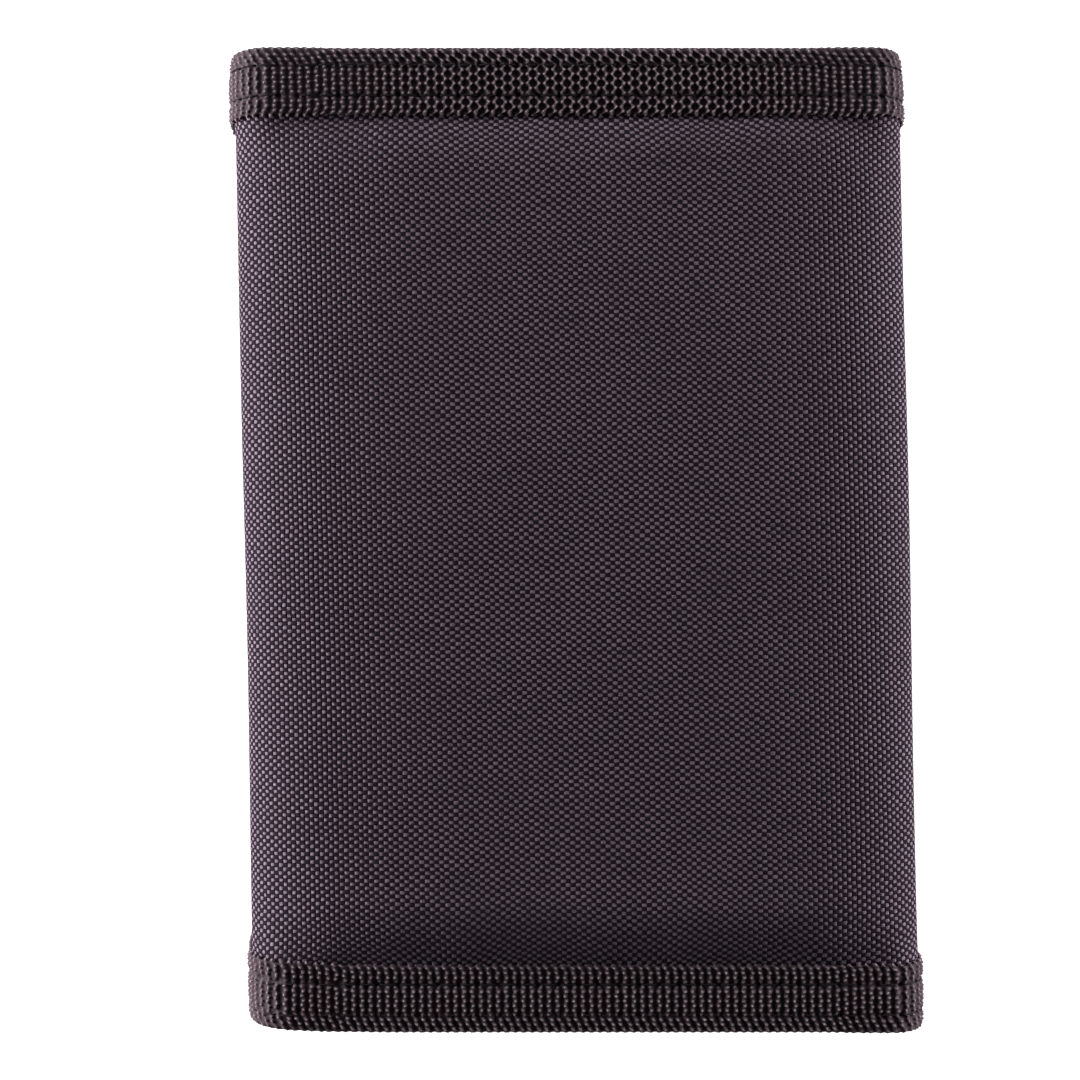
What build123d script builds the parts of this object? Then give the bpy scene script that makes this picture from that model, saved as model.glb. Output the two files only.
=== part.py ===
from build123d import *
import os

# Passport holder wallet, closed and lying on its front cover.
#
# One long padded strip is wrapped into three panels. The back panel is on top. The front cover
# is turned under it round the wide left fold. A short flap is turned in round the right fold and
# is fastened to the cover by a hook and loop patch. A passport lies between the flap and the back
# panel. Ribbed tape binds both long edges of the strip, all the way round the wrap.
#
# Frame: millimetres, origin on the table under the middle, +X across, +Y along the folds, +Z up.

# ---- What it holds --------------------------------------------------------------------------
passport_width = 88.0
passport_length = 125.0
passport_play = 1.0  # from the passport to the long edge tape, at each end
fold_room = 7.6  # from the passport to the outside of each fold
card_length = 85.6

# ---- Cloth, foam and tape -------------------------------------------------------------------
shell_thickness = 0.6
lining_thickness = 0.4
tape_thickness = 0.7
tape_width = 10.5  # of the long edge tape that shows on one face
edge_tape_width = 6.0  # of the tape round a free edge that shows on one face
cover_foam = 0.8  # foam at the sewn edges of each panel
flap_foam = 0.7
back_foam = 1.1
cover_bulge = 1.0  # how far the padding lifts the shell above its sewn edge
back_bulge = 2.6
bulge_run_x = 14.0  # distance over which the padding rises from a sewn edge
bulge_run_y = 8.0

# ---- Room between the panels ----------------------------------------------------------------
cover_flap_gap = 0.3  # between the facing tapes of the cover and the flap
passport_gap = 4.5  # between the facing tapes of the flap and the back panel
fold_gap = 0.8  # from the end of a panel to the end of a fold roll
roll_flat = 0.5  # flat margin of a padded panel beside a roll
flap_end = 6.0  # free edge of the flap, right of the wallet's middle
cover_setback = 0.6  # free edge of the cover, left of the start of the right roll

# ---- Fittings -------------------------------------------------------------------------------
hook_thickness = 0.7
patch_gap = 0.1  # between the hook and the loop faces
patch_length = 70.0
patch_inset = 2.0  # from the flap's edge tape to the patch
patch_setback = 5.45  # from the patch to the cover's edge tape
pocket_panel = 0.4  # thickness of one card pocket panel
pocket_step = 8.0  # from one pocket mouth to the next
pocket_side = 2.0  # cloth beside the card at each end
pocket_reach = 46.5  # from the fold to the mouth of the longest pocket
pocket_inset = 0.4
sleeve_thickness = 0.4
sleeve_lift = 0.05  # between the passport sleeve and the lining
sleeve_short = 12.0  # from the sleeve's mouth to the end of the back panel
sleeve_trim_width = 5.0
sleeve_trim_thickness = 0.3
side_play = 0.4  # from the passport sleeve or a free edge tape to the long edge tape
window_length = 58.0
window_pane = 0.2
window_border = 4.0
window_border_thickness = 0.3
window_inset = 2.5  # from the flap's edge tape to the window border
window_setback = 6.75  # from the window border to the end of the flap

# ---- Thread ---------------------------------------------------------------------------------
thread_width = 0.5
thread_rise = 0.15
outer_row = 2.9  # from the tape's outer edge to its first row of stitches
inner_row = 3.0  # from the tape's inner edge to its second row of stitches

# ---- Overall sizes --------------------------------------------------------------------------
width = passport_width + 2 * fold_room  # across the tape at the two folds
length = passport_length + 2 * (tape_width + passport_play)  # along the folds

# ---- Levels, from the table up ---------------------------------------------------------------
cover_crown = 0.0
cover_outer = cover_crown + cover_bulge
cover_foam_bottom = cover_outer + shell_thickness
cover_lining_bottom = cover_foam_bottom + cover_foam
cover_lining_top = cover_lining_bottom + lining_thickness
cover_tape_top = cover_lining_top + tape_thickness

flap_outer = cover_tape_top + cover_flap_gap + tape_thickness
flap_foam_bottom = flap_outer + shell_thickness
flap_lining_bottom = flap_foam_bottom + flap_foam
flap_lining_top = flap_lining_bottom + lining_thickness
flap_tape_top = flap_lining_top + tape_thickness

back_lining_bottom = flap_tape_top + passport_gap + tape_thickness
back_lining_top = back_lining_bottom + lining_thickness
back_shell_bottom = back_lining_top + back_foam
back_outer = back_shell_bottom + shell_thickness
back_crown = back_outer + back_bulge

# ---- Folds: half rolls, seen along Y --------------------------------------------------------
cover_fold_radius = (back_outer - cover_outer) / 2
cover_fold_z = (back_outer + cover_outer) / 2
cover_fold_x = -(width / 2 - tape_thickness - cover_fold_radius)

flap_fold_radius = (back_outer - flap_outer) / 2
flap_fold_z = (back_outer + flap_outer) / 2
flap_fold_x = width / 2 - tape_thickness - flap_fold_radius

# ---- Panel outlines, seen from above --------------------------------------------------------
half_length = length / 2
panel_half = half_length - tape_thickness
tape_start = half_length - tape_width
inside_half = tape_start - side_play

back_left = cover_fold_x + fold_gap
back_right = flap_fold_x - fold_gap
cover_left = cover_fold_x + fold_gap
cover_edge = flap_fold_x - cover_setback
cover_right = cover_edge - tape_thickness
flap_edge = flap_end
flap_left = flap_edge + tape_thickness
flap_right = flap_fold_x - fold_gap
edge_flat = edge_tape_width + roll_flat

patch_left = flap_edge + edge_tape_width + patch_inset
patch_right = cover_edge - edge_tape_width - patch_setback
window_left = flap_edge + edge_tape_width + window_inset
window_right = flap_right - window_setback
window_width = window_right - window_left
row_places = (half_length - outer_row, tape_start + inner_row)
stitch_rows = [side * place for side in (1, -1) for place in row_places]


def flat_layer(left, right, half, bottom, thickness):
    """A flat layer from left to right and to half on both sides of the middle, standing on bottom."""
    with BuildPart() as layer:
        with BuildSketch(Plane.XY.offset(bottom)):
            with Locations(((left + right) / 2, 0)):
                Rectangle(right - left, 2 * half)
        extrude(amount=thickness)
    return layer.part


def padded_form(left, right, base, seam, crown, right_flat):
    """A padded panel: flat at base, at seam level along its edges and at crown level in its middle."""
    crown_left = left + roll_flat + bulge_run_x
    crown_right = right - right_flat - bulge_run_x
    crown_half = tape_start - bulge_run_y
    with BuildPart() as form:
        with BuildSketch(Plane.XZ):
            with BuildLine():
                Polyline((left + roll_flat, seam), (left, seam), (left, base), (right, base))
                Polyline((right, base), (right, seam), (right - right_flat, seam))
                TangentArc((crown_left, crown), (left + roll_flat, seam), tangent=(-1, 0))
                Line((crown_left, crown), (crown_right, crown))
                TangentArc((crown_right, crown), (right - right_flat, seam), tangent=(1, 0))
            make_face()
        extrude(amount=panel_half, both=True)
        with BuildSketch(Plane.YZ):
            with BuildLine():
                Polyline((-tape_start, seam), (-panel_half, seam), (-panel_half, base), (panel_half, base))
                Polyline((panel_half, base), (panel_half, seam), (tape_start, seam))
                TangentArc((-crown_half, crown), (-tape_start, seam), tangent=(-1, 0))
                Line((-crown_half, crown), (crown_half, crown))
                TangentArc((crown_half, crown), (tape_start, seam), tangent=(1, 0))
            make_face()
        extrude(amount=width, both=True, mode=Mode.INTERSECT)
    return form.part


def half_roll(centre_x, centre_z, outer, thickness, half, side):
    """A half pipe of cloth with its axis along Y, bulging to the side (-1 left, 1 right)."""
    with BuildPart() as roll:
        with BuildSketch(Plane.XZ):
            with Locations((centre_x, centre_z)):
                Circle(outer)
                Circle(outer - thickness, mode=Mode.SUBTRACT)
            with Locations((centre_x - side * outer, centre_z)):
                Rectangle(2 * outer, 3 * outer, mode=Mode.SUBTRACT)
        extrude(amount=half, both=True)
    return roll.part


def tape_outline(end, lower_face, upper_face):
    """Corners, in Y and Z, of the folded tape that grips the two faces of a long edge."""
    inner = end * tape_start
    edge = end * half_length
    crease = end * panel_half
    return [
        (inner, lower_face - tape_thickness),
        (edge, lower_face - tape_thickness),
        (edge, upper_face + tape_thickness),
        (inner, upper_face + tape_thickness),
        (inner, upper_face),
        (crease, upper_face),
        (crease, lower_face),
        (inner, lower_face),
    ]


def straight_tape(left, right, end, lower_face, upper_face):
    """The long edge tape of a flat panel."""
    with BuildPart() as tape:
        with BuildSketch(Plane.YZ.offset(left)):
            with BuildLine():
                Polyline(*tape_outline(end, lower_face, upper_face), close=True)
            make_face()
        extrude(amount=right - left)
    return tape.part


def rolled_tape(centre_x, centre_z, radius, side, end):
    """The long edge tape carried half a turn round a fold."""
    inside = radius - shell_thickness - lining_thickness
    with BuildPart() as tape:
        with BuildSketch(Plane.YZ.offset(centre_x)):
            with BuildLine():
                Polyline(*tape_outline(end, centre_z + inside, centre_z + radius), close=True)
            make_face()
        revolve(axis=Axis((centre_x, 0, centre_z), (0, side, 0)), revolution_arc=180)
    return tape.part


def free_edge_tape(edge, direction, lower_face, upper_face):
    """Tape folded round a free edge that runs along Y; direction points from the edge into the panel."""
    crease = edge + direction * tape_thickness
    inner = edge + direction * edge_tape_width
    low = lower_face - tape_thickness
    high = upper_face + tape_thickness
    with BuildPart() as tape:
        with BuildSketch(Plane.XZ):
            with BuildLine():
                Polyline(
                    (inner, low),
                    (edge, low),
                    (edge, high),
                    (inner, high),
                    (inner, upper_face),
                    (crease, upper_face),
                    (crease, lower_face),
                    (inner, lower_face),
                    close=True,
                )
            make_face()
        extrude(amount=inside_half, both=True)
    return tape.part


def straight_thread(left, right, bottom):
    """Two rows of thread on each long edge tape of a flat panel."""
    with BuildPart() as thread:
        with BuildSketch(Plane.XY.offset(bottom)):
            with Locations(*[((left + right) / 2, row) for row in stitch_rows]):
                Rectangle(right - left, thread_width)
        extrude(amount=thread_rise)
    return thread.part


def rolled_thread(centre_x, centre_z, radius, side):
    """The same rows of thread carried half a turn round a fold."""
    middle = centre_z + radius + tape_thickness + thread_rise / 2
    with BuildPart() as thread:
        with BuildSketch(Plane.YZ.offset(centre_x)):
            with Locations(*[(row, middle) for row in stitch_rows]):
                Rectangle(thread_width, thread_rise)
        revolve(axis=Axis((centre_x, 0, centre_z), (0, side, 0)), revolution_arc=180)
    return thread.part


# ---- Front cover: shell, foam, lining, card pockets, hook patch and tapes --------------------
with BuildPart() as cover_foam_pad:
    add(
        padded_form(
            cover_left,
            cover_right,
            cover_lining_bottom,
            cover_foam_bottom,
            cover_crown + shell_thickness,
            edge_flat,
        )
    )

with BuildPart() as cover_shell:
    add(padded_form(cover_left, cover_right, cover_foam_bottom, cover_outer, cover_crown, edge_flat))
    add(cover_foam_pad.part, mode=Mode.SUBTRACT)

with BuildPart() as cover_lining:
    add(flat_layer(cover_left, cover_right, panel_half, cover_lining_bottom, lining_thickness))

pocket_left = cover_left + pocket_inset
pocket_mouth = cover_fold_x + pocket_reach
pocket_half = card_length / 2 + pocket_side

with BuildPart() as card_pocket_low:
    add(flat_layer(pocket_left, pocket_mouth, pocket_half, cover_lining_top, pocket_panel))

with BuildPart() as card_pocket_middle:
    level = cover_lining_top + pocket_panel
    add(flat_layer(pocket_left, pocket_mouth - pocket_step, pocket_half, level, pocket_panel))

with BuildPart() as card_pocket_high:
    level = cover_lining_top + 2 * pocket_panel
    add(flat_layer(pocket_left, pocket_mouth - 2 * pocket_step, pocket_half, level, pocket_panel))

with BuildPart() as hook_patch:
    add(
        flat_layer(
            patch_left,
            patch_right,
            patch_length / 2,
            cover_lining_top,
            hook_thickness,
        )
    )

with BuildPart() as cover_binding_top:
    add(straight_tape(cover_left, cover_edge, 1, cover_outer, cover_lining_top))

with BuildPart() as cover_binding_bottom:
    add(straight_tape(cover_left, cover_edge, -1, cover_outer, cover_lining_top))

with BuildPart() as cover_edge_binding:
    add(free_edge_tape(cover_edge, -1, cover_outer, cover_lining_top))

with BuildPart() as cover_stitching:
    add(straight_thread(cover_left, cover_edge, cover_outer - tape_thickness - thread_rise))

# ---- Left fold, between the cover and the back panel ----------------------------------------
with BuildPart() as cover_fold_shell:
    add(half_roll(cover_fold_x, cover_fold_z, cover_fold_radius, shell_thickness, panel_half, -1))

with BuildPart() as cover_fold_lining:
    inside_shell = cover_fold_radius - shell_thickness
    add(half_roll(cover_fold_x, cover_fold_z, inside_shell, lining_thickness, panel_half, -1))

with BuildPart() as cover_fold_binding_top:
    add(rolled_tape(cover_fold_x, cover_fold_z, cover_fold_radius, -1, 1))

with BuildPart() as cover_fold_binding_bottom:
    add(rolled_tape(cover_fold_x, cover_fold_z, cover_fold_radius, -1, -1))

with BuildPart() as cover_fold_stitching:
    add(rolled_thread(cover_fold_x, cover_fold_z, cover_fold_radius, -1))

# ---- Back panel: shell, foam, lining, passport sleeve and tapes ------------------------------
with BuildPart() as back_foam_pad:
    add(
        padded_form(
            back_left,
            back_right,
            back_lining_top,
            back_shell_bottom,
            back_crown - shell_thickness,
            roll_flat,
        )
    )

with BuildPart() as back_shell:
    add(padded_form(back_left, back_right, back_shell_bottom, back_outer, back_crown, roll_flat))
    add(back_foam_pad.part, mode=Mode.SUBTRACT)

with BuildPart() as back_lining:
    add(flat_layer(back_left, back_right, panel_half, back_lining_bottom, lining_thickness))

sleeve_bottom = back_lining_bottom - sleeve_lift - sleeve_thickness
sleeve_mouth = back_right - sleeve_short

with BuildPart() as passport_sleeve:
    add(flat_layer(back_left + pocket_inset, sleeve_mouth, inside_half, sleeve_bottom, sleeve_thickness))

with BuildPart() as sleeve_trim:
    trim_bottom = sleeve_bottom - sleeve_trim_thickness
    trim_left = sleeve_mouth - sleeve_trim_width
    add(flat_layer(trim_left, sleeve_mouth, inside_half, trim_bottom, sleeve_trim_thickness))

with BuildPart() as back_binding_top:
    add(straight_tape(back_left, back_right, 1, back_lining_bottom, back_outer))

with BuildPart() as back_binding_bottom:
    add(straight_tape(back_left, back_right, -1, back_lining_bottom, back_outer))

with BuildPart() as back_stitching:
    add(straight_thread(back_left, back_right, back_outer + tape_thickness))

# ---- Right fold, between the back panel and the flap -----------------------------------------
with BuildPart() as flap_fold_shell:
    add(half_roll(flap_fold_x, flap_fold_z, flap_fold_radius, shell_thickness, panel_half, 1))

with BuildPart() as flap_fold_lining:
    inside_shell = flap_fold_radius - shell_thickness
    add(half_roll(flap_fold_x, flap_fold_z, inside_shell, lining_thickness, panel_half, 1))

with BuildPart() as flap_fold_binding_top:
    add(rolled_tape(flap_fold_x, flap_fold_z, flap_fold_radius, 1, 1))

with BuildPart() as flap_fold_binding_bottom:
    add(rolled_tape(flap_fold_x, flap_fold_z, flap_fold_radius, 1, -1))

with BuildPart() as flap_fold_stitching:
    add(rolled_thread(flap_fold_x, flap_fold_z, flap_fold_radius, 1))

# ---- Inner flap: shell, foam, lining, loop patch, photo window and tapes ---------------------
with BuildPart() as flap_shell:
    add(flat_layer(flap_left, flap_right, panel_half, flap_outer, shell_thickness))

with BuildPart() as flap_foam_pad:
    add(flat_layer(flap_left, flap_right, panel_half, flap_foam_bottom, flap_foam))

with BuildPart() as flap_lining:
    add(flat_layer(flap_left, flap_right, panel_half, flap_lining_bottom, lining_thickness))

with BuildPart() as loop_patch:
    loop_bottom = cover_lining_top + hook_thickness + patch_gap
    add(
        flat_layer(
            patch_left,
            patch_right,
            patch_length / 2,
            loop_bottom,
            flap_outer - loop_bottom,
        )
    )

with BuildPart() as id_window:
    add(
        flat_layer(
            window_left,
            window_right,
            window_length / 2,
            flap_lining_top,
            window_pane,
        )
    )

with BuildPart() as id_window_frame:
    with BuildSketch(Plane.XY.offset(flap_lining_top + window_pane)):
        with Locations(((window_left + window_right) / 2, 0)):
            Rectangle(window_width, window_length)
            Rectangle(
                window_width - 2 * window_border,
                window_length - 2 * window_border,
                mode=Mode.SUBTRACT,
            )
    extrude(amount=window_border_thickness)

with BuildPart() as flap_binding_top:
    add(straight_tape(flap_edge, flap_right, 1, flap_outer, flap_lining_top))

with BuildPart() as flap_binding_bottom:
    add(straight_tape(flap_edge, flap_right, -1, flap_outer, flap_lining_top))

with BuildPart() as flap_edge_binding:
    add(free_edge_tape(flap_edge, 1, flap_outer, flap_lining_top))

with BuildPart() as flap_stitching:
    add(straight_thread(flap_edge, flap_right, flap_outer - tape_thickness - thread_rise))

# ---- One file for each piece ----------------------------------------------------------------
pieces = {
    "cover_shell": cover_shell,
    "cover_foam": cover_foam_pad,
    "cover_lining": cover_lining,
    "card_pocket_low": card_pocket_low,
    "card_pocket_middle": card_pocket_middle,
    "card_pocket_high": card_pocket_high,
    "hook_patch": hook_patch,
    "cover_binding_top": cover_binding_top,
    "cover_binding_bottom": cover_binding_bottom,
    "cover_edge_binding": cover_edge_binding,
    "cover_stitching": cover_stitching,
    "cover_fold_shell": cover_fold_shell,
    "cover_fold_lining": cover_fold_lining,
    "cover_fold_binding_top": cover_fold_binding_top,
    "cover_fold_binding_bottom": cover_fold_binding_bottom,
    "cover_fold_stitching": cover_fold_stitching,
    "back_shell": back_shell,
    "back_foam": back_foam_pad,
    "back_lining": back_lining,
    "passport_sleeve": passport_sleeve,
    "sleeve_trim": sleeve_trim,
    "back_binding_top": back_binding_top,
    "back_binding_bottom": back_binding_bottom,
    "back_stitching": back_stitching,
    "flap_fold_shell": flap_fold_shell,
    "flap_fold_lining": flap_fold_lining,
    "flap_fold_binding_top": flap_fold_binding_top,
    "flap_fold_binding_bottom": flap_fold_binding_bottom,
    "flap_fold_stitching": flap_fold_stitching,
    "flap_shell": flap_shell,
    "flap_foam": flap_foam_pad,
    "flap_lining": flap_lining,
    "loop_patch": loop_patch,
    "id_window": id_window,
    "id_window_frame": id_window_frame,
    "flap_binding_top": flap_binding_top,
    "flap_binding_bottom": flap_binding_bottom,
    "flap_edge_binding": flap_edge_binding,
    "flap_stitching": flap_stitching,
}

os.makedirs("parts", exist_ok=True)
for name, piece in pieces.items():
    piece.part.label = name
    export_step(piece.part, f"parts/{name}.step")
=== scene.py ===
import math

import bpy
import numpy as np
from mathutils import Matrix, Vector


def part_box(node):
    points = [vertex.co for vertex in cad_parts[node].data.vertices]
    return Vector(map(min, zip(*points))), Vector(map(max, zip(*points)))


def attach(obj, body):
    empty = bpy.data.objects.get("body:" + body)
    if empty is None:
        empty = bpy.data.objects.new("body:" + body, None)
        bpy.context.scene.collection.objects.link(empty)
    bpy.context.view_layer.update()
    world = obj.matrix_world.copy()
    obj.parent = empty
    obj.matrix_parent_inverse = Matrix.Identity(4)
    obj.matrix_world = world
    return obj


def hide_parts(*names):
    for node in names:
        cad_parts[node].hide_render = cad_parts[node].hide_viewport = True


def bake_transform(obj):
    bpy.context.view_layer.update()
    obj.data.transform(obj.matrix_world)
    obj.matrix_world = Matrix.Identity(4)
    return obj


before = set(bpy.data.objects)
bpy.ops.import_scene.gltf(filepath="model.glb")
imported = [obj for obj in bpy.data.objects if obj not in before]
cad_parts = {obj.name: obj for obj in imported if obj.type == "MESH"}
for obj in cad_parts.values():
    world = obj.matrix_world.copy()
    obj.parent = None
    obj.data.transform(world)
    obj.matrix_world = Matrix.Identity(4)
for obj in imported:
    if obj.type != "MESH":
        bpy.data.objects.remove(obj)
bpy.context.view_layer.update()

# ==== The table, the light and the camera =====================================================
# The closed wallet lies on a white table, before a pale backdrop that lights nothing. Two long soft
# boxes stand low at its sides, the left one brighter, and one hangs beyond its top edge, so the
# padded face is darker than its rolled sides.

table_size = 6.0
table_glow = 0.92  # the table shines a little itself, so it stays white right up to the wallet
backdrop_radius = 2.9
backdrop_glow = 0.86
room_light = 0.03
white, black = (1, 1, 1, 1), (0, 0, 0, 1)

scene = bpy.context.scene
scene.view_settings.view_transform = "Standard"


def painted(name, sockets):
    """A new material, with these values on its shader's own sockets."""
    material = bpy.data.materials.new(name)
    material.use_nodes = True
    shader = material.node_tree.nodes["Principled BSDF"]
    for socket, value in sockets.items():
        shader.inputs[socket].default_value = value
    return material


bpy.ops.mesh.primitive_plane_add(size=table_size)
table_top = bpy.context.object
table_top.name = "table_top"
table_top.data.materials.append(painted("white_table", {
    "Base Color": (0.7, 0.7, 0.7, 1),
    "Roughness": 0.9,
    "Emission Color": white,
    "Emission Strength": table_glow,
}))

bpy.ops.mesh.primitive_uv_sphere_add(segments=48, ring_count=24, radius=backdrop_radius)
backdrop = bpy.context.object
backdrop.name = "pale_backdrop"
backdrop.data.materials.append(painted("pale_backdrop", {
    "Base Color": black,
    "Specular IOR Level": 0.0,
    "Emission Color": white,
    "Emission Strength": backdrop_glow,
}))
backdrop.visible_diffuse = False
backdrop.visible_glossy = False
backdrop.visible_transmission = False
backdrop.visible_shadow = False

world = bpy.data.worlds.new("pale_room")
scene.world = world
world.use_nodes = True
world.node_tree.nodes["Background"].inputs["Color"].default_value = (1.0, 0.995, 0.99, 1)
world.node_tree.nodes["Background"].inputs["Strength"].default_value = room_light

# each soft box: its place in metres, its size in metres and its watts; all face the wallet
soft_boxes = {
    "left_soft_box": ((-0.54, 0.09, 0.075), (0.5, 0.125), 12.8),
    "right_soft_box": ((0.54, 0.09, 0.073), (0.5, 0.125), 8.5),
    "top_soft_box": ((-0.05, 0.42, 0.13), (0.6, 0.20), 0.68),
}
for name, (place, size, watts) in soft_boxes.items():
    lamp = bpy.data.lights.new(name, "AREA")
    lamp.shape = "RECTANGLE"
    lamp.size, lamp.size_y = size
    lamp.energy = watts
    holder = bpy.data.objects.new(name, lamp)
    holder.location = place
    holder.rotation_euler = (-Vector(place)).to_track_quat("-Z", "Y").to_euler()
    scene.collection.objects.link(holder)

camera_height = 0.254
camera_side = -0.0053
camera_lens = 53.35
camera = bpy.data.objects.new("camera_above", bpy.data.cameras.new("camera_above"))
camera.location = (camera_side, 0.0, camera_height)
camera.data.sensor_width = 36.0
camera.data.lens = camera_lens
scene.collection.objects.link(camera)
scene.camera = camera

# ==== Outer cloth =============================================================================
# One strip of coarse plain-weave polyester, coated inside, makes the whole outside: front cover,
# wide fold, padded back panel, narrow fold and inner flap. It is sewn in under the tape along both
# long edges, and the foam behind it makes each panel swell between its seams.

mm = 0.001
left_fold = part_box("cover_fold_shell")
right_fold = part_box("flap_fold_shell")
cover_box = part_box("cover_shell")
back_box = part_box("back_shell")
flap_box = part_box("flap_shell")
tape_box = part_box("back_binding_top")

left_centre, left_side = left_fold[1].x, left_fold[0].x
right_centre, right_side = right_fold[0].x, right_fold[1].x
fold_reach = 4 * mm  # how far the cloth of a fold runs on into its panels
left_start, right_start = left_centre + fold_reach, right_centre - fold_reach
left_middle = (left_fold[0].z + left_fold[1].z) / 2
right_middle = (right_fold[0].z + right_fold[1].z) / 2
seam_top = left_fold[1].z
seam_under = left_fold[0].z
flap_under = flap_box[0].z
crown_top = back_box[1].z
tape_start = tape_box[0].y
half_length = tape_box[1].y
cloth_half = back_box[1].y

cloth_thickness = 0.6 * mm
side_power = 5.0  # how square the padded section is: 2 is an ellipse
# from the tape to where the padding is full: at the top's left and right, and at the bottom
top_left_run, top_right_run, bottom_run = 8.5 * mm, 6.3 * mm, 9.8 * mm
left_quarter_length, right_quarter_length = 15 * mm, 13 * mm  # roughly, to share out the points
run_change_from, run_change = -5 * mm, 25 * mm  # where along the top the run grows shorter
table_gap = 0.01 * mm
lean = 0.0218  # the strip was folded a little out of square
bow = 0.24 * mm  # and its middle stands this much to the side


def evenly(points, count):
    """The polyline again as count points at equal distances: each column of its points is read off
    between them at equal steps of the running length."""
    steps = np.linalg.norm(np.diff(points, axis=0), axis=1)
    along = np.concatenate([[0], np.cumsum(steps)])
    wanted = np.linspace(0, along[-1], count)
    return np.stack([np.interp(wanted, along, points[:, k]) for k in range(points.shape[1])], axis=1)


def padded_quarter(side, middle, top, start, count):
    """Quarter of the padded section, from the side point to x = start. x is side times cos(t) to
    the power 2/side_power, and z is middle plus (top - middle) times sin(t)."""
    last = math.acos(abs(start / side) ** (side_power / 2))
    turn = np.linspace(0, last, 400)
    x = side * np.cos(turn) ** (2 / side_power)
    z = middle + (top - middle) * np.sin(turn)
    return evenly(np.stack([x, z], axis=1), count)


def round_quarter(side, middle, top, centre, start, count):
    """Quarter of the sewn section: a circle arc from the side point to the seam level over the
    fold's centre, and a straight run to x = start."""
    turn = np.linspace(0, math.pi / 2, 200)
    x = centre + (side - centre) * np.cos(turn)
    z = middle + (top - middle) * np.sin(turn)
    return evenly(np.stack([np.append(x, start), np.append(z, top)], axis=1), count)


def padded_height(x, side, middle, top):
    """Height of the padded section at x: middle + (top - middle) * sqrt(1 - |x / side| ^ side_power)."""
    return middle + (top - middle) * np.sqrt(1 - np.abs(x / side) ** side_power)


def panel_lines(kind, column_step):
    """Padded and sewn outlines (x, z) of a panel, in the direction of the strip. The sewn one is
    straight at the seam's height. The padded one is the padded section of each side, but right of
    the cover's middle it is the seam's height times (x / free edge)^6."""
    if kind == "cover":
        x = np.linspace(cover_box[1].x, left_start, round((cover_box[1].x - left_start) / column_step))
        left = padded_height(x, left_side, left_middle, cover_box[0].z)
        right = seam_under * (x / cover_box[1].x) ** 6
        sewn = np.full_like(x, seam_under)
        padded = np.where(x < 0, left, right)
    elif kind == "back":
        x = np.linspace(left_start, right_start, round((right_start - left_start) / column_step))
        left = padded_height(x, left_side, left_middle, crown_top)
        right = padded_height(x, right_side, right_middle, crown_top)
        sewn = np.full_like(x, seam_top)
        padded = np.where(x < 0, left, right)
    else:
        x = np.linspace(right_start, flap_box[0].x, round((right_start - flap_box[0].x) / column_step))
        sewn = np.full_like(x, flap_under)
        padded = sewn
    return np.stack([x, padded], axis=1), np.stack([x, sewn], axis=1)


def strip_stretches(column_step):
    """The strip's stretches in order, from the cover's free edge to the flap's: name to (padded
    outline, sewn outline). Each quarter of a fold is a stretch of its own."""
    left_count = round(left_quarter_length / column_step)
    right_count = round(right_quarter_length / column_step)
    left_end, left_run = (left_side, left_middle), (left_centre, left_start, left_count)
    right_end, right_run = (right_side, right_middle), (right_centre, right_start, right_count)
    padded = {
        "left_lower": padded_quarter(*left_end, cover_box[0].z, left_start, left_count)[::-1],
        "left_upper": padded_quarter(*left_end, crown_top, left_start, left_count),
        "right_upper": padded_quarter(*right_end, crown_top, right_start, right_count)[::-1],
        "right_lower": round_quarter(*right_end, flap_under, *right_run),
    }
    sewn = {
        "left_lower": round_quarter(*left_end, seam_under, *left_run)[::-1],
        "left_upper": round_quarter(*left_end, seam_top, *left_run),
        "right_upper": round_quarter(*right_end, seam_top, *right_run)[::-1],
        "right_lower": round_quarter(*right_end, flap_under, *right_run),
    }
    order = ["cover", "left_lower", "left_upper", "back", "right_upper", "right_lower", "flap"]
    lines = {name: (padded[name], sewn[name]) for name in padded}
    lines.update({name: panel_lines(name, column_step) for name in ("cover", "back", "flap")})
    return {name: lines[name] for name in order}


def smooth_step(t):
    """0 below 0, 1 above 1, and 3t^2 - 2t^3 between."""
    t = np.clip(t, 0, 1)
    return t * t * (3 - 2 * t)


def swell(x, y):
    """Share of the padding's full height at (x, y): 0 under the tape, rising as 1 - (1 - t)^2 from
    it over the run, which at the top grows shorter to the right by a smooth step of x."""
    shorter = smooth_step((x - run_change_from) / run_change)
    top_run = top_left_run + (top_right_run - top_left_run) * shorter
    t = np.clip((tape_start - np.abs(y)) / np.where(y > 0, top_run, bottom_run), 0, 1)
    return 1 - (1 - t) ** 2


def lengths(line):
    """Distance along a polyline at each of its points."""
    return np.concatenate([[0], np.cumsum(np.linalg.norm(np.diff(line, axis=0), axis=1))])


def grid_normals(points):
    """Unit normals of a grid of points (columns, rows, 3): the column step crossed with the row step."""
    normal = np.cross(np.gradient(points, axis=0), np.gradient(points, axis=1))
    return normal / np.linalg.norm(normal, axis=2, keepdims=True)


def leaned(points):
    """The points with x moved by bow * (1 - (y / half_length)^2) - lean * y, for a strip folded a
    little out of square."""
    moved = points.copy()
    moved[..., 0] += bow * (1 - (points[..., 1] / half_length) ** 2) - lean * points[..., 1]
    return moved


def mesh_piece(name, points, faces, material):
    """A smooth-shaded mesh object at the origin with these points and faces."""
    mesh = bpy.data.meshes.new(name)
    mesh.from_pydata(points.reshape(-1, 3).tolist(), [], faces)
    mesh.polygons.foreach_set("use_smooth", np.full(len(mesh.polygons), True))
    mesh.materials.append(material)
    mesh.update()
    piece = bpy.data.objects.new(name, mesh)
    scene.collection.objects.link(piece)
    return piece


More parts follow.
